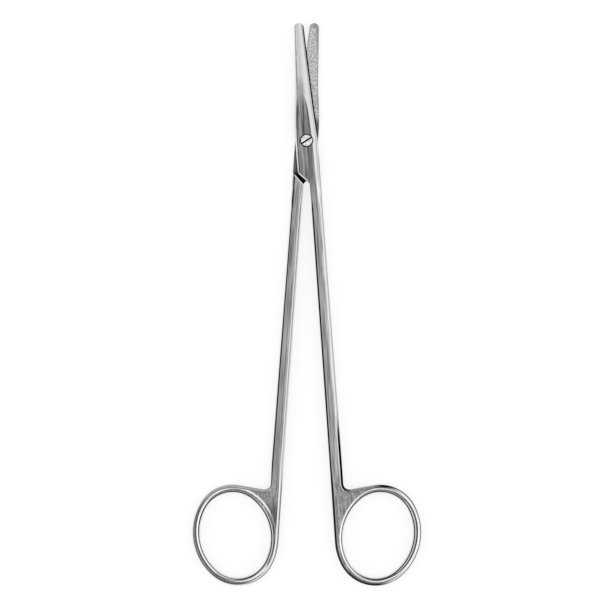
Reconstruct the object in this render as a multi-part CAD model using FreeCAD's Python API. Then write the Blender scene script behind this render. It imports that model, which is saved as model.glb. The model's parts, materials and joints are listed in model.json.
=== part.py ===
import FreeCAD, Part
import math
import os
from FreeCAD import Rotation, Vector

# Straight dissecting scissors with blunt rounded tips, lying flat and a little open.
# Millimetres. The origin is on the pivot axis, at the level the scissors lie on.
# +Y runs to the blade tips, +X to the right seen from above, +Z up.
#
# Both halves are the same forging. It is drawn once, as it lies when the scissors are
# closed, with its lap face at z = 0 and its outer face up: blade and lock over the lap
# face, shank and finger ring on the +X side at full thickness. The back half is the same
# shape turned over about the long axis.

# Overall
TIP_REACH = 37.7            # pivot to the blade tips
RING_REACH = 127.5          # pivot to the level of the ring centres
REST_OPENING = 7.7          # angle between the halves as they lie, degrees

# Lock
LOCK_HALF_WIDTH = 3.67
LOCK_HEIGHT = 2.25          # each half, lap face to ground outer face
LAP_CLEARANCE = 0.02        # between the two lap faces
LOCK_TAIL = 10.05           # pivot to the end of the lock, along its spine side
TAIL_ANGLE = 45.0           # end of the lock across the scissors, degrees
SHOULDER_GAP = 0.28         # lock end to the shoulder of the other half, closed
TAIL_FILLET = 0.8           # inner corner between lock end and shank
TAIL_CHAMFER = 0.35         # outer edge of lock end and shoulder

# Blade
TIP_RADIUS = 1.53
SPINE_START = 4.0           # the spine leaves the lock's side here
SPINE_END = 19.5            # and runs straight from here to the tip
SPINE_TAPER = 0.052
EDGE_START = -3.0           # the cutting side leaves the lock's side here
EDGE_END = 17.0             # and runs straight from here to the tip
EDGE_TAPER = 0.0555
CREST_SHIFT = 0.62          # ridge of the crowned back, off the centre line
TIP_CREST = 1.1             # thickness at the ridge, at the tip
FACET_REACH = 15.4          # the ground flat of the lock runs out on the ridge here
LOCK_CROWN = 0.54           # what the flat takes off the crown at the back of the lock
CROWN_EASE = 6              # how soon it takes that much, a power
TIP_CREASE = 0.78           # thickness where the bevel starts, at the tip
CREASE_TAPER = 0.0232
BEVEL_WIDTH = 0.8           # from the crease to the cutting edge, seen from above
EDGE_FACET = 0.32           # steeper facet along the edge, within the bevel
EDGE_SHARE = 0.55           # its share of the bevel's fall
EDGE_LAND = 0.08            # thickness left at the cutting edge
LOCK_LAND = 0.85            # the same side on the lock, where it does not cut
LAND_RUN = 10.0             # length over which the one becomes the other
SPINE_SHARE = 0.45          # how much of the spine side's half width is rounded over
SPINE_LAND = 0.1            # upright wall left on the spine above the lap face
TIP_ROUND = 0.55
HOLLOW_DEPTH = 0.11         # hollow grinding of the inner face at its wide end
HOLLOW_START = 7.0
HOLLOW_MARGIN = 0.45        # flat strip left along spine and cutting edge
BLADE_SECTIONS = 15         # sections the crowned back is drawn through
TIP_OVERRUN = 1.0           # the last one lies this far past the tip, which is then rounded off

# Shank
SHANK_GAP = 0.05            # centre line to the shank at the lock, closed
SHANK_RING_WIDTH = 4.05     # shank width where the web starts
SHANK_START = 14.6          # pivot to the full shank section
SHANK_SETTLE = 22.0         # pivot to where its sides have their full rounding
SETTLE_HEIGHT = 2.12        # half thickness there
SETTLE_BULGE = 1.05         # how far the rounded sides bulge there
WEB_LENGTH = 23.5           # along the shank, from where it becomes the web to the ring's centre
HANDLE_THICKNESS = 3.6      # web and ring
HANDLE_BULGE = 1.2          # how far their rounded sides bulge
SIDE_PARTING = 40.0         # degrees round a side where the crease runs out
TURN_PARTING = 55.0         # where the turn within the bevel does
LAND_PARTING = 72.0         # and where the lock's land does

# Finger ring
RING_BORE_LENGTH = 27.3
RING_BORE_WIDTH = 22.28
RING_WALL = 2.65
RING_TILT = 15.3            # long axis of the bore, outwards from the shank, degrees
RING_GAP = 0.35             # centre line to ring and web, closed
SADDLE_RISE = 15.05         # ring centre to the top of the web beside the shank
SADDLE_RADIUS = 1.8

# Pivot screw
HEAD_DIAMETER = 3.75
HEAD_HEIGHT = 0.9
HEAD_CHAMFER = 0.2
HEAD_DOME = 0.08            # rise of the head's slightly domed top
HEAD_RECESS = 0.03          # head below the ground face
SLOT_WIDTH = 0.38
SLOT_DEPTH = 0.45
SLOT_ANGLE = 33.7           # as it stands at rest, degrees
SHOULDER_DIAMETER = 2.7
THREAD_DIAMETER = 2.4
THREAD_CLEARANCE = 0.01     # radial
RUNNING_CLEARANCE = 0.04    # radial, front half on the screw
SEAT_CHAMFER = 0.24         # edge of the head's seat in the outer face

# Worked out from the sizes above
TIP_CENTRE = TIP_REACH - TIP_RADIUS
LAP_OFFSET = LAP_CLEARANCE / 2
TAIL_SLOPE = math.radians(TAIL_ANGLE)
HALF_HANDLE = HANDLE_THICKNESS / 2
WEB_START = RING_REACH - WEB_LENGTH
SIDE_STRIP = (RING_WALL - 2 * HANDLE_BULGE) / 2
ROUND_MIDPOINT = math.sqrt(2) - 1
BIG = 200.0
OVERCUT = 1.0               # cuts run this far past a face


def box_between(low, high):
    """Box with the two given corners."""
    size = Vector(*high) - Vector(*low)
    return Part.makeBox(size.x, size.y, size.z, Vector(*low))


def arc(start, middle, end):
    """Circular edge through three points."""
    return Part.Arc(start, middle, end).toShape()


def line(start, end):
    """Straight edge."""
    return Part.LineSegment(start, end).toShape()


def rounded_corner(corner, start, end):
    """Arc that rounds a corner, from a point on one side to a point on the other."""
    chord = (start + end) * 0.5
    return arc(start, chord + (corner - chord) * ROUND_MIDPOINT, end)


def smooth_step(value):
    """0 to 1 with flat ends."""
    part = min(max(value, 0.0), 1.0)
    return part * part * (3 - 2 * part)


# Blade and lock

def blade_side(y, start, end, taper):
    """Distance of a blade's side from the centre line: lock, curve, straight taper."""
    straight = TIP_RADIUS + taper * (TIP_CENTRE - y)
    if y >= end:
        return straight
    if y <= start:
        return LOCK_HALF_WIDTH
    run = end - start
    part = (y - start) / run
    lock_share = 2 * part ** 3 - 3 * part ** 2 + 1
    straight_end = TIP_RADIUS + taper * (TIP_CENTRE - end)
    bend = (part ** 3 - part ** 2) * run * -taper
    return LOCK_HALF_WIDTH * lock_share + straight_end * (1 - lock_share) + bend


def spine_x(y):
    return -blade_side(y, SPINE_START, SPINE_END, SPINE_TAPER)


def edge_x(y):
    return blade_side(y, EDGE_START, EDGE_END, EDGE_TAPER)


def crest_height(y):
    """Height of the ridge: a straight taper on the blade, easing off under the flat."""
    if y >= FACET_REACH:
        part = (y - FACET_REACH) / (TIP_CENTRE - FACET_REACH)
        return LOCK_HEIGHT + (TIP_CREST - LOCK_HEIGHT) * part
    part = (FACET_REACH - y) / (FACET_REACH + SHANK_START)
    return LOCK_HEIGHT + LOCK_CROWN * (1 - (1 - part) ** CROWN_EASE)


def crease(y):
    """Where the crowned back meets the bevel of the cutting side."""
    height = TIP_CREASE + CREASE_TAPER * (TIP_CENTRE - y)
    return Vector(edge_x(y) - BEVEL_WIDTH, y, height)


def land_height(y):
    """Thickness at the cutting side: sharp on the blade, blunt on the lock."""
    return LOCK_LAND + (EDGE_LAND - LOCK_LAND) * smooth_step((y - EDGE_START) / LAND_RUN)


def facet_top(y):
    """Where the bevel turns into the steeper facet along the edge."""
    fall = crease(y).z - land_height(y)
    return Vector(edge_x(y) - EDGE_FACET, y, land_height(y) + EDGE_SHARE * fall)


def crown(y):
    """Radius and centre height of the crown, through the ridge and the crease."""
    reach = crease(y).x + CREST_SHIFT
    drop = crest_height(y) - crease(y).z
    radius = (reach ** 2 + drop ** 2) / (2 * drop)
    return radius, crest_height(y) - radius


def crown_point(x, y):
    """Point of the crowned back above x."""
    radius, centre = crown(y)
    return Vector(x, y, centre + math.sqrt(radius ** 2 - (x + CREST_SHIFT) ** 2))


def spine_round(y):
    """Rounded spine: a curve that leaves the wall upright and runs out on the crown."""
    spine = spine_x(y)
    end = crown_point(spine * (1 - SPINE_SHARE), y)
    slope = -(end.x + CREST_SHIFT) / (end.z - crown(y)[1])
    corner = Vector(spine, y, end.z - slope * (end.x - spine))
    curve = Part.BezierCurve()
    curve.setPoles([Vector(spine, y, SPINE_LAND), corner, end])
    return curve.toShape()


def facet_edge(y):
    """Where the ground flat of the lock ends on the cutting side."""
    radius, centre = crown(y)
    return math.sqrt(radius ** 2 - (LOCK_HEIGHT - centre) ** 2) - CREST_SHIFT


def blade_section(y):
    """Section of blade or lock before the flat is ground."""
    rounded = spine_round(y)
    wall_top, round_end = [vertex.Point for vertex in rounded.Vertexes]
    ridge = crown_point(-CREST_SHIFT, y)
    land_top = Vector(edge_x(y), y, land_height(y))
    spine_foot = Vector(spine_x(y), y, 0)
    edge_foot = Vector(edge_x(y), y, 0)
    return Part.Wire([
        line(spine_foot, wall_top),
        rounded,
        arc(round_end, ridge, crease(y)),
        line(crease(y), facet_top(y)),
        line(facet_top(y), land_top),
        line(land_top, edge_foot),
        line(edge_foot, spine_foot),
    ])


def blade_tip():
    """Blunt round tip: what is kept of the blade beyond the tip's centre."""
    top = crest_height(TIP_CENTRE) + TIP_ROUND
    profile = Part.Wire([
        line(Vector(0, 0, -OVERCUT), Vector(TIP_RADIUS, 0, -OVERCUT)),
        line(Vector(TIP_RADIUS, 0, -OVERCUT), Vector(TIP_RADIUS, 0, TIP_CREASE / 2)),
        rounded_corner(Vector(TIP_RADIUS, 0, TIP_CREST),
                       Vector(TIP_RADIUS, 0, TIP_CREASE / 2),
                       Vector(TIP_RADIUS - TIP_ROUND, 0, TIP_CREST)),
        line(Vector(TIP_RADIUS - TIP_ROUND, 0, TIP_CREST), Vector(0, 0, top)),
        line(Vector(0, 0, top), Vector(0, 0, -OVERCUT)),
    ])
    dome = Part.Face(profile).revolve(Vector(0, 0, 0), Vector(0, 0, 1), 360)
    dome.translate(Vector(0, TIP_CENTRE, 0))
    behind = box_between((-BIG, -BIG, -BIG), (BIG, TIP_CENTRE, BIG))
    return behind.fuse(dome)


def hollow():
    """Long shallow hollow in the inner face, narrowing with the blade."""
    def half_width(y):
        return (edge_x(y) - spine_x(y)) / 2 - HOLLOW_MARGIN

    def middle(y):
        return (edge_x(y) + spine_x(y)) / 2

    wide = half_width(HOLLOW_START)
    radius = (wide ** 2 + HOLLOW_DEPTH ** 2) / (2 * HOLLOW_DEPTH)
    ends = []
    for y in (HOLLOW_START, TIP_CENTRE):
        depth = radius - math.sqrt(radius ** 2 - half_width(y) ** 2)
        ends.append(Vector(middle(y), y, LAP_OFFSET + depth - radius))
    axis = ends[1] - ends[0]
    return Part.makeCylinder(radius, axis.Length, ends[0], axis)


def tail_wire(offset, z):
    """Outline of what lies behind the lock's end, grown by an offset."""
    diagonal = Vector(math.sin(TAIL_SLOPE), -math.cos(TAIL_SLOPE), 0)
    outwards = Vector(math.cos(TAIL_SLOPE), math.sin(TAIL_SLOPE), 0)
    wall_x = SHANK_GAP + offset
    start = Vector(-LOCK_HALF_WIDTH, -LOCK_TAIL, z) + outwards * offset
    corner = start + diagonal * ((wall_x - start.x) / diagonal.x)
    setback = (TAIL_FILLET + offset) * math.tan((math.pi / 2 - TAIL_SLOPE) / 2)
    before = corner - diagonal * setback
    after = corner - Vector(0, setback, 0)
    turn = (math.pi / 2 - TAIL_SLOPE) / 2
    centre = after - Vector(TAIL_FILLET + offset, 0, 0)
    bend = centre + Vector(math.cos(turn), math.sin(turn), 0) * (TAIL_FILLET + offset)
    far = start - diagonal * BIG
    low = Vector(wall_x, -BIG, z)
    return Part.Wire([
        line(far, before),
        arc(before, bend, after),
        line(after, low),
        line(low, Vector(far.x, -BIG, z)),
        line(Vector(far.x, -BIG, z), far),
    ])


def tail_cut():
    """Takes away what lies behind the lock's end and chamfers its outer edge."""
    chamfer_foot = LOCK_HEIGHT - TAIL_CHAMFER
    straight = Part.Face(tail_wire(0, -OVERCUT)).extrude(Vector(0, 0, BIG))
    flare = Part.makeLoft([tail_wire(0, chamfer_foot),
                           tail_wire(2 * TAIL_CHAMFER, LOCK_HEIGHT + TAIL_CHAMFER)],
                          True, True)
    return straight.fuse(flare)


def blade_and_lock():
    """Crowned blade with its ground lock flat, up to the full shank section."""
    pitch = (TIP_REACH + TIP_OVERRUN + SHANK_START) / (BLADE_SECTIONS - 1)
    sections = [blade_section(-SHANK_START + pitch * index) for index in range(BLADE_SECTIONS)]
    blank = Part.makeLoft(sections, True)
    blank = blank.common(blade_tip())
    above = box_between((-BIG, -BIG, LOCK_HEIGHT), (BIG, BIG, BIG))
    return blank.cut(above).cut(tail_cut()).cut(hollow())


# Shank

def side_ellipse(crest, outwards, bulge):
    """Ellipse of a rounded side: its crest above and below, bulging sideways."""
    centre = Vector(crest.x, crest.y, 0)
    return Part.Ellipse(crest, centre + outwards * bulge, centre)


def ellipse_arc(ellipse, start, end):
    """Part of a side's ellipse, counted from the crest at 0 to the side at 90 degrees."""
    return Part.ArcOfEllipse(ellipse, math.radians(start), math.radians(end)).toShape()


def lock_end_edges(side):
    """Half of the shank's section where it leaves the lock, above (1) or below (-1)."""
    y = -SHANK_START
    flat_start = SHANK_GAP + TAIL_CHAMFER
    slope_x = (facet_edge(y) + crease(y).x) / 2
    inner_foot = Vector(SHANK_GAP, y, 0)
    inner_top = Vector(SHANK_GAP, y, side * (LOCK_HEIGHT - TAIL_CHAMFER))
    inner_corner = Vector(SHANK_GAP, y, side * LOCK_HEIGHT)
    flat_from = Vector(flat_start, y, side * LOCK_HEIGHT)
    flat_to = Vector(facet_edge(y), y, side * LOCK_HEIGHT)
    slope = Vector(slope_x, y, side * crown_point(slope_x, y).z)
    slope_foot = Vector(crease(y).x, y, side * crease(y).z)
    turn = Vector(facet_top(y).x, y, side * facet_top(y).z)
    land = Vector(edge_x(y), y, side * land_height(y))
    return [
        line(inner_foot, inner_top),
        rounded_corner(inner_corner, inner_top, flat_from),
        line(flat_from, flat_to),
        arc(flat_to, slope, slope_foot),
        line(slope_foot, turn),
        line(turn, land),
        line(land, Vector(edge_x(y), y, 0)),
    ]


def oval_edges(y, inner_x, outer_x, height, bulge, side):
    """Half of a flat-topped section with rounded sides, above (1) or below (-1)."""
    inner_crest = Vector(inner_x + bulge, y, side * height)
    outer_crest = Vector(outer_x - bulge, y, side * height)
    inner = side_ellipse(inner_crest, Vector(-1, 0, 0), bulge)
    outer = side_ellipse(outer_crest, Vector(1, 0, 0), bulge)
    return [
        ellipse_arc(inner, SIDE_PARTING, 90),
        ellipse_arc(inner, 0, SIDE_PARTING),
        line(inner_crest, outer_crest),
        ellipse_arc(outer, 0, SIDE_PARTING),
        ellipse_arc(outer, SIDE_PARTING, TURN_PARTING),
        ellipse_arc(outer, TURN_PARTING, LAND_PARTING),
        ellipse_arc(outer, LAND_PARTING, 90),
    ]


def closed_section(upper, lower):
    """Closed section from its upper and its lower half."""
    return Part.Wire(upper + lower[::-1])


def shank():
    """Straight shank, from the lock's shoulder to the web."""
    settled = (SHANK_SETTLE - SHANK_START) / (WEB_START - SHANK_START)
    web_inner = RING_GAP
    web_outer = RING_GAP + SHANK_RING_WIDTH
    inner_x = SHANK_GAP + (web_inner - SHANK_GAP) * settled
    outer_x = LOCK_HALF_WIDTH + (web_outer - LOCK_HALF_WIDTH) * settled
    sections = [closed_section(lock_end_edges(1), lock_end_edges(-1))]
    for y, inner, outer, height, bulge in (
            (-SHANK_SETTLE, inner_x, outer_x, SETTLE_HEIGHT, SETTLE_BULGE),
            (-WEB_START, web_inner, web_outer, HALF_HANDLE, HANDLE_BULGE)):
        halves = [oval_edges(y, inner, outer, height, bulge, side) for side in (1, -1)]
        sections.append(closed_section(*halves))
    bar = Part.makeLoft(sections, True, True)

    # Below the lap level it reaches further, up to the shoulder
    lap_line = line(Vector(edge_x(-SHANK_START), -SHANK_START, 0),
                    Vector(SHANK_GAP, -SHANK_START, 0))
    root_face = Part.Face(Part.Wire(lock_end_edges(-1) + [lap_line]))
    return bar.fuse(root_face.extrude(Vector(0, SHANK_START, 0)))


def shoulder_outline(step, z):
    """Large outline of what lies ahead of the shoulder line, moved back by a step."""
    along = Vector(math.sin(TAIL_SLOPE), math.cos(TAIL_SLOPE), 0)
    backwards = Vector(math.cos(TAIL_SLOPE), -math.sin(TAIL_SLOPE), 0)
    foot = Vector(LOCK_HALF_WIDTH, -LOCK_TAIL, z) + backwards * (SHOULDER_GAP + step)
    left = foot - along * BIG
    right = foot + along * BIG
    return Part.makePolygon([left, right, right - backwards * BIG, left - backwards * BIG, left])


def lap_cut():
    """Room for the other half's lock: below the lap face, ahead of the shoulder."""
    room = Part.Face(shoulder_outline(0, -BIG)).extrude(Vector(0, 0, BIG + LAP_OFFSET))
    chamfer = Part.makeLoft([
        shoulder_outline(0, TAIL_CHAMFER - LOCK_HEIGHT),
        shoulder_outline(2 * TAIL_CHAMFER, -LOCK_HEIGHT - TAIL_CHAMFER),
    ], True, True)
    return room.fuse(chamfer)


# Web and finger ring

def ring_axes():
    """Directions of the ring's long axis, and across it towards the shank."""
    tilt = math.radians(RING_TILT)
    return Vector(math.sin(tilt), math.cos(tilt), 0), Vector(-math.cos(tilt), math.sin(tilt), 0)


def bore_radii():
    """End and side radius of the bore, an oval drawn from four tangent arcs."""
    half_length = RING_BORE_LENGTH / 2
    half_width = RING_BORE_WIDTH / 2
    diagonal = math.hypot(half_length, half_width)
    excess = half_length - half_width
    end_radius = diagonal * (diagonal - excess) / (2 * half_length)
    side_radius = diagonal * (diagonal + excess) / (2 * half_width)
    return end_radius, side_radius


def oval_centres(centre):
    """Centres of the oval's arcs: shank side, lower end, outer side, upper end."""
    along, across = ring_axes()
    end_radius, side_radius = bore_radii()
    end_step = RING_BORE_LENGTH / 2 - end_radius
    side_step = side_radius - RING_BORE_WIDTH / 2
    return [centre - across * side_step, centre - along * end_step,
            centre + across * side_step, centre + along * end_step]


def ring_centre():
    """Centre of the ring, set so that its rim lines up with the web's inner side."""
    side_centre = oval_centres(Vector(0, 0, 0))[0]
    side_radius = bore_radii()[1] + RING_WALL
    return Vector(RING_GAP + side_radius - side_centre.x, -RING_REACH, 0)


def arc_about(centre, radius, first, last):
    """Arc of under half a turn between two directions from its centre."""
    middle = (first + last).normalize()
    return arc(centre + first * radius, centre + middle * radius, centre + last * radius)


def oval_turns(centres):
    """Directions in which neighbouring arcs of the oval meet."""
    side, lower, outer, upper = centres
    return [(lower - side).normalize(), (lower - outer).normalize(),
            (upper - outer).normalize(), (upper - side).normalize()]


def oval_outline(offset):
    """The bore's outline, grown by an offset."""
    centres = oval_centres(ring_centre())
    turns = oval_turns(centres)
    end_radius, side_radius = [radius + offset for radius in bore_radii()]
    return Part.Wire([
        arc_about(centres[0], side_radius, turns[3], turns[0]),
        arc_about(centres[1], end_radius, turns[0], turns[1]),
        arc_about(centres[2], side_radius, turns[1], turns[2]),
        arc_about(centres[3], end_radius, turns[2], turns[3]),
    ])


def rim_edges(inset):
    """Outline from the shank's inner side, round the ring, over the saddle and back up."""
    centres = oval_centres(ring_centre())
    turns = oval_turns(centres)
    end_radius, side_radius = [radius + RING_WALL - inset for radius in bore_radii()]
    left = Vector(-1, 0, 0)
    right = Vector(1, 0, 0)

    # Top of the web: a line from the saddle's corner that touches the upper end arc
    corner = Vector(RING_GAP + SHANK_RING_WIDTH, SADDLE_RISE - RING_REACH, 0)
    offset = corner - centres[3]
    swing = math.degrees(math.acos((bore_radii()[0] + RING_WALL) / offset.Length))
    web_up = Rotation(Vector(0, 0, 1), -swing).multVec(offset).normalize()

    # Saddle: an arc that touches the shank's outer side and the top of the web
    saddle = corner + (web_up + right) * (SADDLE_RADIUS / (1 + web_up.dot(right)))
    saddle_radius = SADDLE_RADIUS + inset
    inner_top = Vector(RING_GAP + inset, -WEB_START, 0)
    outer_top = Vector(corner.x - inset, -WEB_START, 0)
    return [
        line(inner_top, centres[0] + left * side_radius),
        arc_about(centres[0], side_radius, left, turns[0]),
        arc_about(centres[1], end_radius, turns[0], turns[1]),
        arc_about(centres[2], side_radius, turns[1], turns[2]),
        arc_about(centres[3], end_radius, turns[2], web_up),
        line(centres[3] + web_up * end_radius, saddle - web_up * saddle_radius),
        arc_about(saddle, saddle_radius, web_up * -1, left),
        line(saddle + left * saddle_radius, outer_top),
    ]


def swept_side(path, crest, outwards):
    """Rounded side swept along a path, with a narrow strip of the flat behind it."""
    top = Vector(crest.x, crest.y, HALF_HANDLE)
    bottom = Vector(crest.x, crest.y, -HALF_HANDLE)
    strip = outwards * -SIDE_STRIP
    section = Part.Wire([
        ellipse_arc(side_ellipse(top, outwards, HANDLE_BULGE), 0, 180),
        line(bottom, bottom + strip),
        line(bottom + strip, top + strip),
        line(top + strip, top),
    ])
    return Part.Wire(path).makePipeShell([section], True, False)


def web_and_ring():
    """Flat web and oval finger ring, one plate with its sides rounded all round."""
    core_inset = HANDLE_BULGE + SIDE_STRIP / 2
    rim = rim_edges(core_inset)
    closing = line(rim[-1].Vertexes[-1].Point, rim[0].Vertexes[0].Point)
    face = Part.Face(Part.Wire(rim + [closing])).cut(Part.Face(oval_outline(core_inset)))
    face.translate(Vector(0, 0, -HALF_HANDLE))
    core = face.extrude(Vector(0, 0, HANDLE_THICKNESS))

    rim = rim_edges(HANDLE_BULGE)
    rim_side = swept_side(rim, rim[0].Vertexes[0].Point, Vector(-1, 0, 0))
    bore = oval_outline(HANDLE_BULGE)
    bore_start = bore.OrderedVertexes[0].Point
    side_centre = oval_centres(ring_centre())[0]
    bore_side = swept_side(bore.OrderedEdges, bore_start, (side_centre - bore_start).normalize())
    return core.fuse([rim_side, bore_side])


def forging():
    """One half, without its hole for the screw."""
    solid = blade_and_lock().fuse([shank(), web_and_ring()])
    return solid.cut(lap_cut()).removeSplitter().Solids[0]


# Holes and screw

def countersink(diameter, depth, z):
    """Cone that breaks the edge of a hole in the outer face."""
    return Part.makeCone(diameter / 2, diameter / 2 + 2 * depth, 2 * depth, Vector(0, 0, z - depth))


def front_half_closed():
    """Front half: a seat for the screw's head and a running bore for its shoulder."""
    seat = HEAD_DIAMETER + 2 * RUNNING_CLEARANCE
    bore = SHOULDER_DIAMETER + 2 * RUNNING_CLEARANCE
    floor = LOCK_HEIGHT - HEAD_RECESS - HEAD_HEIGHT - LAP_CLEARANCE
    solid = forging()
    solid = solid.cut(Part.makeCylinder(bore / 2, BIG, Vector(0, 0, -OVERCUT)))
    solid = solid.cut(Part.makeCylinder(seat / 2, BIG, Vector(0, 0, floor)))
    return solid.cut(countersink(seat, SEAT_CHAMFER, LOCK_HEIGHT))


def back_half_closed():
    """Back half: the threaded hole."""
    hole = THREAD_DIAMETER + 2 * THREAD_CLEARANCE
    return forging().cut(Part.makeCylinder(hole / 2, BIG, Vector(0, 0, -OVERCUT)))


def pivot_screw():
    """Slotted screw: flush head, shoulder for the front half, end ground flush."""
    head_radius = HEAD_DIAMETER / 2
    thread_radius = THREAD_DIAMETER / 2
    head_top = 2 * LOCK_HEIGHT - HEAD_RECESS
    head_foot = head_top - HEAD_HEIGHT
    lap = LOCK_HEIGHT - LAP_OFFSET
    outline = [
        (0, 0),
        (thread_radius, 0),
        (thread_radius, lap),
        (SHOULDER_DIAMETER / 2, lap),
        (SHOULDER_DIAMETER / 2, head_foot),
        (head_radius, head_foot),
        (head_radius, head_top - HEAD_CHAMFER),
        (head_radius - HEAD_CHAMFER, head_top),
        (0, head_top),
        (0, 0),
    ]
    profile = Part.makePolygon([Vector(radius, 0, z) for radius, z in outline])
    screw = Part.Face(profile).revolve(Vector(0, 0, 0), Vector(0, 0, 1), 360)
    dome_radius = (head_radius ** 2 + HEAD_DOME ** 2) / (2 * HEAD_DOME)
    screw = screw.common(Part.makeSphere(dome_radius, Vector(0, 0, head_top - dome_radius)))
    slot = box_between((-head_radius, -SLOT_WIDTH / 2, head_top - SLOT_DEPTH),
                       (head_radius, SLOT_WIDTH / 2, head_top + OVERCUT))
    slot.rotate(Vector(0, 0, 0), Vector(0, 0, 1), SLOT_ANGLE)
    return screw.cut(slot)


def at_rest(solid, turned_over, turn):
    """Places a closed half: lap face at mid height, turned about the pivot."""
    if turned_over:
        solid.rotate(Vector(0, 0, 0), Vector(0, 1, 0), 180)
    solid.translate(Vector(0, 0, LOCK_HEIGHT))
    solid.rotate(Vector(0, 0, 0), Vector(0, 0, 1), turn)
    return solid


def save(name, shape):
    """Writes one piece, after a look at its soundness."""
    print(name, shape.isValid(), len(shape.Solids), round(shape.Volume, 2), shape.BoundBox)
    shape.exportStep("parts/" + name + ".step")


os.makedirs("parts", exist_ok=True)
save("front_half", at_rest(front_half_closed(), False, REST_OPENING / 2))
save("back_half", at_rest(back_half_closed(), True, -REST_OPENING / 2))
save("pivot_screw", pivot_screw())
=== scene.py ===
import json
import math

import bpy
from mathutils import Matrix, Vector

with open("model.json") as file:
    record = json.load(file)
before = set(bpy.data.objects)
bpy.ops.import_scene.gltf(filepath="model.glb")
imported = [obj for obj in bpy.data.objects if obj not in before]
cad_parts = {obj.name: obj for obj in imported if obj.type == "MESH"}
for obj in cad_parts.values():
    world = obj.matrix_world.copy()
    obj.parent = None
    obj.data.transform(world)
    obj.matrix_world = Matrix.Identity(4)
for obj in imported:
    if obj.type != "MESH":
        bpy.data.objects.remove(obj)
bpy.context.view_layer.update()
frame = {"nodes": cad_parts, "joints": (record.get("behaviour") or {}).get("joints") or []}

# Straight dissecting scissors on a white floor, seen from above with the tips up.
# Metres, in the frame of the imported model. Finishes, and the painted light and shade on them, are
# laid out in millimetres.
# A pair of places or leans is a soft edge: where a change starts, and where it is complete.
# A pair of tones or shares is what lies before such an edge, and what lies behind it.

MM = 0.001
PIVOT = Vector(frame["joints"][0]["pos_m"])
REST_TURN = 3.85                # each half is turned this far from closed, degrees

# Camera, above the picture's middle
PICTURE_WIDTH = 192 * MM        # what the square picture covers
PICTURE_MIDDLE = Vector((-2.1 * MM, -51.0 * MM, PIVOT.z))
CAMERA_HEIGHT = 1.5
SENSOR = 36.0

# Studio
FLOOR_SIZE = 40.0
FLOOR_WHITE = 0.8               # the floor as it lights the object
FLOOR_SEEN = 0.3                # and as it is seen, with a glow that lifts it to white
FLOOR_GLOW = 0.79
SKY = 0.95
CEILING_HEIGHT = 2.3
CEILING_RADIUS = 4.0
CEILING_CORNERS = 48
CEILING_GLOW = (1.0, 0.25)      # in the middle, and in wedges beyond the picture's two ends
WEDGE_EDGE = (0.35, 0.75)
WEDGE_TAPER = 0.8               # how fast the wedges narrow towards the middle
KEY_POWER = 1.2
KEY_SIZE = (1.0, 1.6)
KEY_PLACE = Vector((1.6, -0.2, 1.25))

# Where finishes meet, from the pivot towards the tip
RING_EDGE = (-113.0, -111.0)
HANDLE_EDGE = (-112.0, -104.0)
LOCK_EDGE = (-19.0, -13.0)
BLADE_EDGE = (-16.0, -12.0)
BEVEL_EDGE = (-8.0, -2.0)
FACET_EDGE = (-3.0, 3.0)

# Which way a surface leans. A flat is all but level
FLAT_SLOPE = (0.93, 0.985)
LEAST_LEAN = 0.05               # below it a surface leans nowhere
LEFT_HEADING = (-0.7, 0.0)
RIGHT_HEADING = (0.0, 0.7)
SHADED_HEADING = (-0.6, 0.0)    # on the handle, where what leans down counts as left too
SHADED_RISE = 0.6
UPWARD_RISE = (0.2, 0.6)

# Lock: its ground top, painted shade along the top of its left side, and painted highlights on the
# rims of its end and shoulder
LOCK_LEVEL = (2.14, 2.22)
LOCK_FACING = (0.97, 0.999)
SIDE_TOP_LEVEL = (1.98, 2.04)
SIDE_TOP_SLOPE = (0.9, 0.97)
SIDE_TOP_FACING = (-0.3, -0.15)
SIDE_TOP_START = (-10.5, -10.0)
SIDE_TOP_END = (10.0, 16.0)
SIDE_TOP_SHADE_TONE = 0.04
TAIL_ANGLE = math.radians(45.0)         # the lock's end lies at this angle across a half
TAIL_CORNER = (-3.67, -10.05, 0.0)      # where it meets the left side
SHOULDER_CORNER = (3.67, -10.05, 0.0)
TAIL_RIM = (0.3, 0.4)
TAIL_RIM_LEVEL = (1.8, 1.9)
TAIL_RIM_START = (-13.6, -12.6)
SHOULDER_RIM_START = (0.25, 0.28)
SHOULDER_RIM_END = (0.6, 0.7)
SHOULDER_RIM_LEVEL = (-1.8, -1.7)
RIM_HIGHLIGHT_TONE = 0.85

# Inner face of the blade: matte, with a ground margin along both edges, and painted shade near the
# pivot
INNER_HOLLOW = 0.25             # it is hollow by less than this
INNER_FACING = -0.8
INNER_TONES = (0.36, 0.88)
INNER_DARK = (5.5, 8.5)         # it is dark nearer to the pivot than this
INNER_SHADE_TONE = 0.17
MARGIN_TOP = 0.004              # the margin is hollow by more than this
MARGIN_DEPTHS = (0.035, 0.014)  # and less than these, at the back and at the cutting edge
MARGIN_SIDES = (-0.5, 0.5)
MARGIN_START = (9.0, 12.0)
MARGIN_TONES = (0.36, 0.26)
MARGIN_TONE_SIDES = (-1.0, 1.0)

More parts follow.
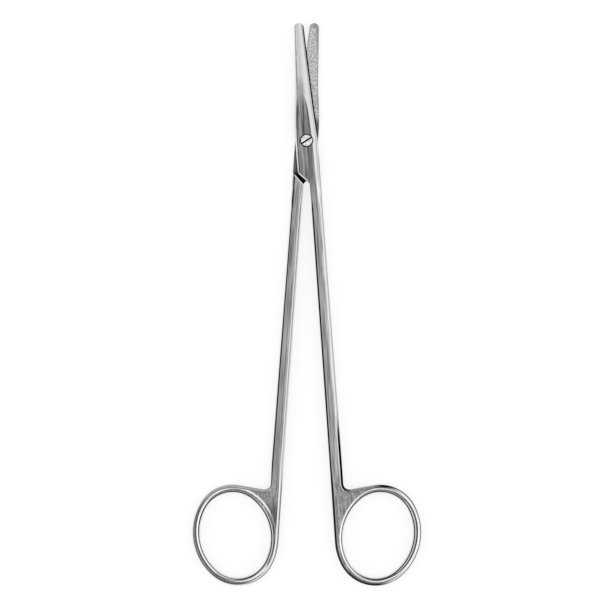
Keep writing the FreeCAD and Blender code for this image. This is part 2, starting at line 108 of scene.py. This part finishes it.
# Outer face of the blade, with painted light and shade: its back lighter towards the tip, the spine
# and bevel light, a dark line down the spine, a dull line at the crease and a dark steep facet along
# the edge
BACK_TONES = (0.42, 0.68)
BACK_BRIGHT = (16.5, 22.0)      # the back is brighter towards the tip
BACK_BRUSHING = (0.93, 1.07)
PAINTED_BEVEL_TONE = 0.76
BEVEL_FACING = (0.1, 0.4)
BEVEL_SHARE = (0.2, 0.4)
PAINTED_SPINE_TONE = 0.72
SPINE_FACING = (-0.8, -0.5)
SPINE_LINE_START = (-0.85, -0.75)
SPINE_LINE_END = (-0.5, -0.4)
SPINE_LINE_ALONG = (14.0, 20.0)
SPINE_LINE_SHARES = (0.15, 0.7)
PAINTED_SPINE_LINE_TONE = 0.1
CREASE_HEIGHT = 1.62            # level with the pivot
CREASE_TAPER = 0.0232           # and what it loses along the blade
CREASE_START = (-0.05, 0.0)     # measured down the bevel
CREASE_END = (0.15, 0.3)
CREASE_FACING = (0.3, 0.5)
CREASE_SHADE_TONE = 0.5
FACET_HEIGHT = 0.93
FACET_TAPER = 0.0128
FACET_TOP = (-0.18, -0.05)
FACET_FACING = (0.5, 0.6)
FACET_SHADE_TONE = 0.03

# Painted shade in the seat around the screw, fading towards one corner
SEAT_EDGE = (2.13, 2.19)
SEAT_LEVEL = (1.5, 1.6)
SEAT_CORNER = (1.8, 2.6)        # across and along, added
SEAT_SHARES = (1.0, 0.35)
SEAT_SHADE_TONE = 0.04

# Finger ring: bore with a painted dark line, a painted highlight near the crest, and a painted dark
# reflection beside that
RING_CENTRE = Vector((14.31, -127.5, 0.0))
RING_TILT = math.radians(15.3)
RING_AXES = (12.47, 14.97)      # half width and half length of the oval along its crest
BRIGHT_SHIFT = (0.5, 0.25)      # the bright line lies this far right of and above the crest
BRIGHT_WIDTH = (0.014, 0.026)   # half of it, as a share of the ring's size
BRIGHT_SLOPE = (0.66, 0.76)
HIGHLIGHT_TONE = 0.9
BRIGHT_FADE = (2.6, 4.6)        # on the back half it fades towards the shank
BRIGHT_SHARES = (0.2, 1.0)
DARK_SHIFT = 0.55               # the dark line lies this far left of the bright one
DARK_WIDTH = (0.012, 0.026)
DARK_SLOPE = (0.75, 0.85)
DARK_SIDE = (8.0, 16.0)         # it lies on the far side from the shank
DARK_TONE = 0.08
BORE_INNER = (0.8, 0.85)
BORE_OUTER = (0.98, 0.99)
BORE_TONE = 0.7
BORE_LINE_START = (0.5, 0.56)
BORE_LINE_END = (0.8, 0.86)
BORE_LINE_TONE = 0.01

# Patterns: noise scales across, along and up, details and roughness
STREAKS = ((3.4, 0.07, 3.4), 3.0, 0.6)
HAIR = ((7.0, 0.3, 7.0), 3.0, 0.6)
CLOUDS = ((1.6, 0.5, 1.6), 4.0, 0.6)
GRAIN = ((1.7, 2.0, 1.7), 3.0, 0.7)
HAIR_EDGE = (0.3, 0.7)
STREAK_EDGE = (0.36, 0.64)
WEB_STREAK_EDGE = (0.34, 0.66)
GRAIN_EDGE = (0.34, 0.66)
BUMP_STRENGTH = 0.25
BUMP_HEIGHT = 0.02 * MM

# Tones of the flats
BRUSHING = (0.85, 1.12)
LOCK_TONES = (0.08, 0.42)
LOCK_FADE = (10.5, 17.5)
LOCK_FADE_TONE = 0.5
SHANK_TONES = (0.2, 0.5)
FRONT_STRIP = ((1.0, 3.8), (0.85, 1.7))     # lighter strip on the right of the picture: its edge
BACK_STRIP = ((0.8, 3.2), (1.25, 0.8))      # across the shank, and the shares of tone beside it
WEB_TONES = (0.2, 0.46)
WEB_CLOUDS = (0.7, 1.25)
WEB_GRAIN = (0.75, 1.25)
NARROW_SIDE = (3.0, 5.0)        # narrow end of the back half's web
NARROW_ALONG = (-120.0, -114.0)
NARROW_SHARE = 0.45

# Painted reflections on the rounded sides: a tone for each way they lean, with painted lines along
# them
FRONT_LEFT_TONES = (0.6, 0.4)
FRONT_LEFT_SLOPE = (0.25, 0.6)
FRONT_LINE_START = (0.2, 0.32)
FRONT_LINE_END = ((0.66, 0.86), (0.8, 0.94))    # on the shank, and on the handle
FRONT_LINE_TONE = 0.03
BACK_LEFT_TONES = (0.8, 0.4)
BACK_LEFT_SLOPE = (0.5, 0.9)
BACK_LINE_START = ((0.42, 0.52), (0.56, 0.68))
BACK_LINE_END = (0.82, 0.92)
BACK_LINE_TONES = (0.03, 0.09)
FRONT_RIGHT_TONES = (0.74, 0.36)        # of the right side, and of a thin line along it
BACK_RIGHT_TONES = (0.66, 0.62)
THIN_START = (0.15, 0.25)
THIN_END = (0.52, 0.62)
RING_THIN_TONES = (0.12, 0.05)
RING_RIGHT_TONE = 0.8
BETWEEN_TONE = 0.8
RING_BETWEEN_TONES = (0.35, 0.8)
RING_BETWEEN_SLOPE = (0.8, 0.9)

# Painted dark reflection: a black line down the front shank's right side into the web
SADDLE_START = (-114.0, -112.0)
SADDLE_END = (-96.0, -86.0)
SADDLE_HEADING = (-0.3, 0.1)
SADDLE_LINE_START = (0.2, 0.3)
SADDLE_LINE_END = (0.86, 0.93)
SADDLE_REFLECTION_TONE = 0.0

# Gloss
DARK_EDGES = (0.02, 0.2)        # tones over which the sheen seen at a grazing angle comes in
SIDE_ROUGHNESS = (0.12, 0.09)   # on the shank, and on the handle
BACK_ROUGHNESS = 0.4
BACK_FACING = (-0.3, -0.1)
FLAT_ROUGHNESS = (0.3, 0.4)
BRIGHT_ROUGHNESS = 0.15
INNER_ROUGHNESS = 0.5

# Painted shade: slots and gaps darken their walls, and steps what lies beside them
GAP_REACH = 3.0 * MM
GAP_OPEN = (0.4, 0.68)
STEP_REACH = 0.7 * MM
STEP_OPEN = (0.45, 0.8)
STEP_SHARES = (0.1, 1.0)
SHADE_SAMPLES = 8

# Screw
SLOT_TURN = math.radians(33.7)
SLOT_SIDE = (0.24, 0.3)         # from its middle line
SLOT_END = (1.6, 1.7)
SLOT_FLOOR = (4.15, 4.25)       # only the slot's floor and the screw's rim are below
SLOT_SHADE_SHARES = (0.02, 1.0)
SCREW_TONES = (0.6, 0.94)
SCREW_CLOUDS = (1.6, 3.0, 0.6)
SCREW_CLOUD_EDGE = (0.35, 0.6)
SCREW_ROUGHNESS = (0.4, 0.2)
SCREW_ROUGH_EDGE = (0.3, 0.7)


class Nodes:
    """Adds nodes to a material's or world's tree."""

    def __init__(self, tree):
        self.tree = tree
        tree.nodes.clear()

    def add(self, kind, inputs=None, **settings):
        """New node. Inputs are given by name or number, as a value or as another node's output."""
        node = self.tree.nodes.new(kind)
        for name, value in settings.items():
            setattr(node, name, value)
        for name, value in (inputs or {}).items():
            self.put(node.inputs[name], value)
        return node

    def put(self, socket, value):
        if isinstance(value, bpy.types.NodeSocket):
            self.tree.links.new(value, socket)
        else:
            socket.default_value = value

    def maths(self, operation, *values):
        node = self.add("ShaderNodeMath", dict(enumerate(values)), operation=operation)
        return node.outputs[0]

    def vector_maths(self, operation, *values):
        return self.add("ShaderNodeVectorMath", dict(enumerate(values)), operation=operation).outputs

    def times(self, first, *others):
        """Product of numbers."""
        product = first
        for other in others:
            product = self.maths("MULTIPLY", product, other)
        return product

    def ramp(self, value, edge, ends=(0.0, 1.0)):
        """Soft change from one end to the other as the value crosses an edge."""
        inputs = {"Value": value, "From Min": edge[0], "From Max": edge[1],
                  "To Min": ends[0], "To Max": ends[1]}
        node = self.add("ShaderNodeMapRange", inputs, interpolation_type="SMOOTHSTEP")
        return node.outputs["Result"]

    def fall(self, value, edge):
        """1 before an edge and 0 behind it."""
        return self.ramp(value, edge, (1.0, 0.0))

    def band(self, value, start, end):
        """1 between two edges and 0 elsewhere."""
        return self.times(self.ramp(value, start), self.fall(value, end))

    def mix(self, share, first, second):
        """Number between two numbers."""
        return self.add("ShaderNodeMix", {0: share, 2: first, 3: second}).outputs[0]

    def cover(self, tone, *layers):
        """Tone with layers over it. Each is a mask and its own tone."""
        for mask, layer in layers:
            tone = self.mix(mask, tone, layer)
        return tone

    def grey(self, value):
        """Grey colour of that value."""
        return self.add("ShaderNodeCombineColor", {0: value, 1: value, 2: value}).outputs[0]

    def split(self, vector):
        """The vector's three numbers."""
        parts = self.add("ShaderNodeSeparateXYZ", {0: vector}).outputs
        return parts["X"], parts["Y"], parts["Z"]

    def noise(self, vector, scale, detail, roughness):
        inputs = {"Vector": vector, "Scale": scale, "Detail": detail, "Roughness": roughness}
        return self.add("ShaderNodeTexNoise", inputs).outputs["Fac"]

    def pattern(self, vector, scales, detail, roughness):
        """Noise with its own scale in each direction."""
        return self.noise(self.stretch(vector, scales), 1.0, detail, roughness)

    def stretch(self, vector, factors):
        return self.vector_maths("MULTIPLY", vector, factors)[0]

    def move(self, vector, shift):
        return self.vector_maths("ADD", vector, shift)[0]

    def turn(self, vector, angle, centre=(0.0, 0.0, 0.0)):
        """Turned about an upright line through the centre."""
        inputs = {"Vector": vector, "Center": centre, "Angle": angle}
        return self.add("ShaderNodeVectorRotate", inputs, rotation_type="Z_AXIS").outputs[0]

    def distance(self, vector, start, direction):
        """Distance from a place in a direction."""
        moved = self.move(vector, [-part for part in start])
        return self.vector_maths("DOT_PRODUCT", moved, direction)["Value"]

    def oval_reach(self, vector, centre, axes):
        """Distance from an upright oval's centre: 1 on the oval."""
        scaled = self.stretch(self.move(vector, -centre), (1 / axes[0], 1 / axes[1], 0))
        return self.vector_maths("LENGTH", scaled)["Value"]

    def off_oval(self, vector, centre, axes):
        """Distance from the oval itself, as a share of its size."""
        reach = self.oval_reach(vector, centre, axes)
        return self.maths("ABSOLUTE", self.maths("SUBTRACT", reach, 1.0))

    def painted_crevice_shade(self, tone):
        """Painted shade: darkens a tone in slots and gaps, and beside steps."""
        gap = self.add("ShaderNodeAmbientOcclusion", {"Distance": GAP_REACH}, samples=SHADE_SAMPLES)
        step = self.add("ShaderNodeAmbientOcclusion", {"Distance": STEP_REACH}, samples=SHADE_SAMPLES)
        gap_shade = self.ramp(gap.outputs["AO"], GAP_OPEN)
        step_shade = self.ramp(step.outputs["AO"], STEP_OPEN, STEP_SHARES)
        return self.times(tone, self.times(gap_shade, step_shade))

    def metal(self, tone, roughness, **more):
        """Ends the tree with grey metal. More holds other inputs of its shader."""
        inputs = {"Base Color": self.grey(tone), "Metallic": 1.0, "Roughness": roughness}
        inputs.update(more)
        shader = self.add("ShaderNodeBsdfPrincipled", inputs)
        self.add("ShaderNodeOutputMaterial", {"Surface": shader.outputs[0]})


def new_material(name):
    material = bpy.data.materials.new(name)
    material.use_nodes = True
    return material


# Camera and studio

def make_camera():
    data = bpy.data.cameras.new("camera")
    data.sensor_width = SENSOR
    data.lens = SENSOR * CAMERA_HEIGHT / PICTURE_WIDTH
    camera = bpy.data.objects.new("camera", data)
    camera.location = PICTURE_MIDDLE + Vector((0, 0, CAMERA_HEIGHT))
    bpy.context.scene.collection.objects.link(camera)
    bpy.context.scene.camera = camera


def make_key_lamp():
    data = bpy.data.lights.new("key", "AREA")
    data.shape = "RECTANGLE"
    data.size, data.size_y = KEY_SIZE
    data.energy = KEY_POWER
    lamp = bpy.data.objects.new("key", data)
    lamp.location = KEY_PLACE
    lamp.rotation_euler = (PICTURE_MIDDLE - KEY_PLACE).to_track_quat("-Z", "Y").to_euler()
    bpy.context.scene.collection.objects.link(lamp)


def stage_mesh(name, points, material):
    """Flat piece of the studio with one face."""
    mesh = bpy.data.meshes.new(name)
    mesh.from_pydata(points, [], [tuple(range(len(points)))])
    mesh.materials.append(material)
    made = bpy.data.objects.new(name, mesh)
    bpy.context.scene.collection.objects.link(made)
    return made


def floor_material():
    """White floor: a little of its brightness is its own, so that it is white and shadows stay."""
    material = new_material("floor")
    nodes = Nodes(material.node_tree)
    path = nodes.add("ShaderNodeLightPath")
    seen = nodes.maths("MAXIMUM", path.outputs["Is Camera Ray"], path.outputs["Is Glossy Ray"])
    seen = nodes.maths("MAXIMUM", seen, path.outputs["Is Transmission Ray"])
    colour = nodes.grey(nodes.mix(seen, FLOOR_WHITE, FLOOR_SEEN))
    diffuse = nodes.add("ShaderNodeBsdfDiffuse", {"Color": colour})
    glow = nodes.add("ShaderNodeEmission", {"Strength": nodes.times(seen, FLOOR_GLOW)})
    both = nodes.add("ShaderNodeAddShader", {0: diffuse.outputs[0], 1: glow.outputs[0]})
    nodes.add("ShaderNodeOutputMaterial", {"Surface": both.outputs[0]})
    return material


def make_floor():
    half = FLOOR_SIZE / 2
    corners = [(-half, -half, 0), (half, -half, 0), (half, half, 0), (-half, half, 0)]
    stage_mesh("floor", corners, floor_material())


def ceiling_material():
    """White glow, with dark wedges towards the top and the bottom of the picture."""
    material = new_material("ceiling_card")
    nodes = Nodes(material.node_tree)
    x, y, _ = nodes.split(nodes.add("ShaderNodeTexCoord").outputs["Object"])
    narrowing = nodes.times(nodes.maths("ABSOLUTE", x), WEDGE_TAPER)
    wedge = nodes.maths("SUBTRACT", nodes.maths("ABSOLUTE", y), narrowing)
    glow = nodes.add("ShaderNodeEmission", {"Strength": nodes.ramp(wedge, WEDGE_EDGE, CEILING_GLOW)})
    nodes.add("ShaderNodeOutputMaterial", {"Surface": glow.outputs[0]})
    return material


def make_ceiling():
    """Round card above the camera, which the flat faces reflect."""
    points = []
    for index in range(CEILING_CORNERS):
        turn = 2 * math.pi * index / CEILING_CORNERS
        points.append((CEILING_RADIUS * math.cos(turn), CEILING_RADIUS * math.sin(turn),
                       CEILING_HEIGHT))
    card = stage_mesh("ceiling_card", points, ceiling_material())
    card.visible_camera = False


def make_world():
    world = bpy.data.worlds.new("studio")
    world.use_nodes = True
    nodes = Nodes(world.node_tree)
    background = nodes.add("ShaderNodeBackground", {"Color": (1, 1, 1, 1), "Strength": SKY})
    nodes.add("ShaderNodeOutputWorld", {"Surface": background.outputs[0]})
    bpy.context.scene.world = world


# Steel of the halves

class Steel(Nodes):
    """Nodes for one half, with each point's place in that half's own closed frame.

    across goes from the blade's back to its cutting side, along goes from the pivot to the tip,
    and level goes up from the lap face, in millimetres. facing and top are the surface's lean
    across and upwards in the same frame. slope is 1 where the surface is level and 0 where it is
    upright. heading and rise say how far it leans to the right and to the top of the picture.
    """

    def __init__(self, tree, turn, flipped):
        super().__init__(tree)
        self.flipped = flipped
        self.right = -1.0 if flipped else 1.0
        outputs = self.add("ShaderNodeTexCoord").outputs
        sides = Vector((self.right, 1.0, self.right))
        upright = self.turn(outputs["Object"], math.radians(-turn), PIVOT)
        self.place = self.stretch(self.move(upright, -PIVOT), sides / MM)
        normal = self.stretch(self.turn(outputs["Normal"], math.radians(-turn)), sides)
        self.across, self.along, self.level = self.split(self.place)
        self.facing, _, self.top = self.split(normal)
        self.slope = self.maths("ABSOLUTE", self.top)
        to_right, to_top, _ = self.split(outputs["Normal"])
        square = self.maths("SUBTRACT", 1.0, self.times(self.slope, self.slope))
        lean = self.maths("SQRT", self.maths("MAXIMUM", square, LEAST_LEAN ** 2))
        self.heading = self.maths("DIVIDE", to_right, lean)
        self.rise = self.maths("DIVIDE", to_top, lean)
        self.handle = self.fall(self.along, HANDLE_EDGE)
        self.blade = self.ramp(self.along, BLADE_EDGE)
        self.flat = self.ramp(self.slope, FLAT_SLOPE)
        self.streaks = self.pattern(self.place, *STREAKS)
        self.hair = self.pattern(self.place, *HAIR)
        self.clouds = self.pattern(self.place, *CLOUDS)
        self.grain = self.pattern(self.place, *GRAIN)
        self.brushing = self.ramp(self.hair, HAIR_EDGE, BRUSHING)

    def by_part(self, on_shank, on_handle):
        """Number or edge that changes from the shank to the handle."""
        if isinstance(on_shank, tuple):
            return [self.by_part(*pair) for pair in zip(on_shank, on_handle)]
        return self.mix(self.handle, on_shank, on_handle)


def lock_top(steel):
    """Where the ground top of the lock is, and its tone."""
    mask = steel.times(steel.ramp(steel.along, LOCK_EDGE),
                       steel.ramp(steel.level, LOCK_LEVEL),
                       steel.ramp(steel.top, LOCK_FACING))
    tone = steel.times(steel.ramp(steel.streaks, STREAK_EDGE, LOCK_TONES), steel.brushing)
    return mask, steel.mix(steel.ramp(steel.along, LOCK_FADE), tone, LOCK_FADE_TONE)


def painted_side_top_shade(steel):
    """Painted shade: a dark line along the top of the lock's left side."""
    mask = steel.times(steel.ramp(steel.level, SIDE_TOP_LEVEL),
                       steel.fall(steel.slope, SIDE_TOP_SLOPE),
                       steel.fall(steel.facing, SIDE_TOP_FACING),
                       steel.fall(steel.along, SIDE_TOP_END),
                       steel.ramp(steel.along, SIDE_TOP_START))
    return mask, SIDE_TOP_SHADE_TONE


def painted_slot_rim_highlights(steel):
    """Painted highlights: bright rims on both sides of the slot between the lock's end and the
    other's shoulder.
    """
    sideways, lengthways = math.cos(TAIL_ANGLE), math.sin(TAIL_ANGLE)
    from_end = steel.distance(steel.place, TAIL_CORNER, (sideways, lengthways, 0))
    tail_rim = steel.times(steel.fall(from_end, TAIL_RIM),
                           steel.ramp(steel.level, TAIL_RIM_LEVEL),
                           steel.ramp(steel.along, TAIL_RIM_START))
    from_shoulder = steel.distance(steel.place, SHOULDER_CORNER, (sideways, -lengthways, 0))
    shoulder_rim = steel.times(steel.band(from_shoulder, SHOULDER_RIM_START, SHOULDER_RIM_END),
                               steel.fall(steel.level, SHOULDER_RIM_LEVEL))
    return steel.maths("MAXIMUM", tail_rim, shoulder_rim), RIM_HIGHLIGHT_TONE


def inner_face(steel):
    """Matte inner face of the blade, with painted shade near the pivot."""
    lapped = steel.maths("LESS_THAN", steel.maths("ABSOLUTE", steel.level), INNER_HOLLOW)
    mask = steel.times(lapped, steel.maths("LESS_THAN", steel.top, INNER_FACING))
    tone = steel.ramp(steel.grain, GRAIN_EDGE, INNER_TONES)
    return mask, steel.mix(steel.fall(steel.along, INNER_DARK), tone, INNER_SHADE_TONE)


def inner_margin(steel, inner):
    """Ground margin along the edges of the inner face."""
    depth = steel.ramp(steel.across, MARGIN_SIDES, MARGIN_DEPTHS)
    mask = steel.times(inner, steel.fall(steel.level, (MARGIN_TOP, depth)),
                       steel.ramp(steel.along, MARGIN_START))
    return mask, steel.ramp(steel.across, MARGIN_TONE_SIDES, MARGIN_TONES)


def blade_outside(steel):
    """The blade's back, painted lighter towards the tip, its bevel and spine with painted light, and
    a painted dark line down its spine.
    """
    back = steel.times(steel.ramp(steel.along, BACK_BRIGHT, BACK_TONES),
                       steel.ramp(steel.hair, HAIR_EDGE, BACK_BRUSHING))
    line = steel.times(steel.band(steel.facing, SPINE_LINE_START, SPINE_LINE_END),
                       steel.ramp(steel.along, SPINE_LINE_ALONG, SPINE_LINE_SHARES))
    tone = steel.cover(back,
                       (steel.ramp(steel.facing, BEVEL_FACING), PAINTED_BEVEL_TONE),
                       (steel.fall(steel.facing, SPINE_FACING), PAINTED_SPINE_TONE),
                       (line, PAINTED_SPINE_LINE_TONE))
    mask = steel.mix(steel.ramp(steel.facing, BEVEL_SHARE), steel.blade,
                     steel.ramp(steel.along, BEVEL_EDGE))
    return mask, tone


def crease(steel):
    """Painted shade: a dull line along the top of the bevel."""
    height = steel.maths("MULTIPLY_ADD", steel.along, -CREASE_TAPER, CREASE_HEIGHT)
    below = steel.maths("SUBTRACT", height, steel.level)
    mask = steel.times(steel.band(below, CREASE_START, CREASE_END),
                       steel.ramp(steel.facing, CREASE_FACING), steel.blade)
    return mask, CREASE_SHADE_TONE


def facet(steel):
    """Painted shade: the steep facet along the cutting edge is drawn dark."""
    height = steel.maths("MULTIPLY_ADD", steel.along, -FACET_TAPER, FACET_HEIGHT)
    mask = steel.times(steel.ramp(steel.maths("SUBTRACT", height, steel.level), FACET_TOP),
                       steel.ramp(steel.facing, FACET_FACING),
                       steel.ramp(steel.along, FACET_EDGE))
    return mask, FACET_SHADE_TONE


def painted_seat_shade(steel):
    """Painted shade: a dark ring around the screw's head."""
    away = steel.vector_maths("LENGTH", steel.stretch(steel.place, (1, 1, 0)))["Value"]
    corner = steel.maths("ADD", steel.across, steel.along)
    mask = steel.times(steel.fall(away, SEAT_EDGE),
                       steel.ramp(steel.level, SEAT_LEVEL),
                       steel.ramp(corner, SEAT_CORNER, SEAT_SHARES))
    return mask, SEAT_SHADE_TONE


def flat_tone(steel):
    """Brushed flats of the shank, and of the cloudier web."""
    strip = BACK_STRIP if steel.flipped else FRONT_STRIP
    shank = steel.times(steel.ramp(steel.streaks, STREAK_EDGE, SHANK_TONES),
                        steel.ramp(steel.across, *strip))
    web = steel.times(steel.ramp(steel.clouds, HAIR_EDGE, WEB_CLOUDS),
                      steel.ramp(steel.streaks, WEB_STREAK_EDGE, WEB_TONES),
                      steel.ramp(steel.grain, GRAIN_EDGE, WEB_GRAIN))
    if steel.flipped:
        narrow = steel.times(steel.fall(steel.across, NARROW_SIDE),
                             steel.fall(steel.along, NARROW_ALONG))
        web = steel.times(web, steel.mix(narrow, 1.0, NARROW_SHARE))
    return steel.times(steel.by_part(shank, web), steel.brushing)


def painted_left_reflection(steel):
    """Painted reflection on rounded sides that lean to the left: grey with a dark line."""
    if steel.flipped:
        line = steel.band(steel.slope, steel.by_part(*BACK_LINE_START), BACK_LINE_END)
        tone = steel.ramp(steel.slope, BACK_LEFT_SLOPE, BACK_LEFT_TONES)
        return steel.mix(line, tone, steel.by_part(*BACK_LINE_TONES))
    line = steel.band(steel.slope, FRONT_LINE_START, steel.by_part(*FRONT_LINE_END))
    tone = steel.ramp(steel.slope, FRONT_LEFT_SLOPE, FRONT_LEFT_TONES)
    return steel.mix(line, tone, FRONT_LINE_TONE)


def painted_right_reflection(steel):
    """Painted reflection on rounded sides that lean to the right: light grey with a thin duller line.
    """
    light, dull = BACK_RIGHT_TONES if steel.flipped else FRONT_RIGHT_TONES
    thin = steel.band(steel.slope, THIN_START, THIN_END)
    ring_dull = steel.mix(steel.ramp(steel.rise, UPWARD_RISE), *RING_THIN_TONES)
    return steel.mix(thin, steel.by_part(light, RING_RIGHT_TONE), steel.by_part(dull, ring_dull))


def painted_side_reflections(steel, upright):
    """Painted reflections on all rounded sides, and a painted tone with a dark line in the ring's
    bore. Upright is the place with the ring's oval turned upright.
    """
    falling = steel.maths("MULTIPLY_ADD", steel.rise, SHADED_RISE, steel.heading)
    left = steel.by_part(steel.fall(steel.heading, LEFT_HEADING),
                         steel.fall(falling, SHADED_HEADING))
    right = steel.ramp(steel.heading, RIGHT_HEADING)
    ring_between = steel.ramp(steel.slope, RING_BETWEEN_SLOPE, RING_BETWEEN_TONES)
    between = steel.by_part(BETWEEN_TONE, ring_between)
    reach = steel.oval_reach(upright, RING_CENTRE, RING_AXES)
    bore = steel.times(steel.handle, steel.fall(reach, BORE_OUTER), steel.ramp(reach, BORE_INNER))
    bore_line = steel.band(steel.slope, BORE_LINE_START, BORE_LINE_END)
    tone = steel.cover(between,
                       (right, painted_right_reflection(steel)),
                       (left, painted_left_reflection(steel)),
                       (bore, steel.mix(bore_line, BORE_TONE, BORE_LINE_TONE)))
    return tone if steel.flipped else steel.cover(tone, painted_saddle_line(steel))


def painted_saddle_line(steel):
    """Painted dark reflection: a black line where the front shank's right side runs down into the
    web.
    """
    mask = steel.times(steel.band(steel.along, SADDLE_START, SADDLE_END),
                       steel.ramp(steel.heading, SADDLE_HEADING),
                       steel.band(steel.slope, SADDLE_LINE_START, SADDLE_LINE_END))
    return mask, SADDLE_REFLECTION_TONE


def painted_ring_lines(steel, upright):
    """Painted highlight near the ring's crest, and a painted dark reflection beside it."""
    ring = steel.fall(steel.along, RING_EDGE)
    centre = RING_CENTRE + Vector((steel.right * BRIGHT_SHIFT[0], BRIGHT_SHIFT[1], 0))
    off_bright = steel.off_oval(upright, centre, RING_AXES)
    bright = steel.times(steel.fall(off_bright, BRIGHT_WIDTH),
                         steel.ramp(steel.slope, BRIGHT_SLOPE), ring)
    if steel.flipped:
        bright = steel.times(bright, steel.ramp(steel.across, BRIGHT_FADE, BRIGHT_SHARES))
    off_dark = steel.off_oval(upright, centre - Vector((steel.right * DARK_SHIFT, 0, 0)), RING_AXES)
    dark = steel.times(steel.fall(off_dark, DARK_WIDTH), steel.ramp(steel.slope, DARK_SLOPE),
                       steel.ramp(steel.across, DARK_SIDE), ring)
    return (dark, DARK_TONE), (bright, HIGHLIGHT_TONE)


def half_material(name, turn, flipped):
    """Satin steel of one half: ground lock, matte inner face, brushed shank, polished ring, with
    painted highlights, reflections and shade over them.
    """
    material = new_material(name)
    steel = Steel(material.node_tree, turn, flipped)
    upright = steel.turn(steel.place, RING_TILT, RING_CENTRE)
    inner = inner_face(steel)
    painted_dark_line, painted_highlight = painted_ring_lines(steel, upright)
    tone = steel.cover(painted_side_reflections(steel, upright),
                       (steel.flat, flat_tone(steel)),
                       blade_outside(steel),
                       painted_dark_line,
                       painted_highlight,
                       crease(steel),
                       facet(steel),
                       painted_side_top_shade(steel),
                       lock_top(steel),
                       inner,
                       inner_margin(steel, inner[0]),
                       painted_seat_shade(steel))
    tone = steel.cover(steel.painted_crevice_shade(tone), painted_slot_rim_highlights(steel))

    back = steel.times(steel.blade, steel.ramp(steel.facing, BACK_FACING))
    roughness = steel.cover(steel.by_part(*SIDE_ROUGHNESS),
                            (back, BACK_ROUGHNESS),
                            (steel.flat, steel.ramp(steel.hair, HAIR_EDGE, FLAT_ROUGHNESS)),
                            (painted_highlight[0], BRIGHT_ROUGHNESS),
                            (inner[0], INNER_ROUGHNESS))
    height = steel.mix(inner[0], steel.times(steel.hair, steel.flat), steel.grain)
    inputs = {"Height": height, "Strength": BUMP_STRENGTH, "Distance": BUMP_HEIGHT}
    bump = steel.add("ShaderNodeBump", inputs)
    # The sheen at a grazing angle is dimmed where the tone is dark, so the painted dark lines and
    # shade stay dark
    sheen = steel.grey(steel.ramp(tone, DARK_EDGES))
    steel.metal(tone, roughness, **{"Specular Tint": sheen, "Normal": bump.outputs[0]})
    return material


def screw_material():
    """Bright polished steel with a few duller patches, and painted shade that darkens the slot and
    the head's rim.
    """
    material = new_material("screw_steel")
    nodes = Nodes(material.node_tree)
    place = nodes.stretch(nodes.add("ShaderNodeTexCoord").outputs["Object"], (1 / MM, 1 / MM, 1 / MM))
    clouds = nodes.noise(place, *SCREW_CLOUDS)
    height = nodes.split(place)[2]
    lengthways, sideways, _ = nodes.split(nodes.turn(place, -SLOT_TURN))
    clear = nodes.maths("MAXIMUM",
                        nodes.ramp(nodes.maths("ABSOLUTE", sideways), SLOT_SIDE),
                        nodes.ramp(nodes.maths("ABSOLUTE", lengthways), SLOT_END))
    open_top = nodes.maths("MINIMUM", clear, nodes.ramp(height, SLOT_FLOOR))
    # Painted shade: the slot's floor and the head's rim below its top are drawn nearly black
    slot = nodes.ramp(open_top, (0.0, 1.0), SLOT_SHADE_SHARES)
    tone = nodes.times(nodes.ramp(clouds, SCREW_CLOUD_EDGE, SCREW_TONES), slot)
    nodes.metal(nodes.painted_crevice_shade(tone), nodes.ramp(clouds, SCREW_ROUGH_EDGE, SCREW_ROUGHNESS))
    return material


def paint(node, material):
    frame["nodes"][node].material_slots[0].material = material


make_camera()
make_key_lamp()
make_floor()
make_ceiling()
make_world()

paint("front_half", half_material("front_steel", REST_TURN, False))
paint("back_half", half_material("back_steel", -REST_TURN, True))
paint("pivot_screw", screw_material())

bpy.context.scene.view_settings.view_transform = "Standard"
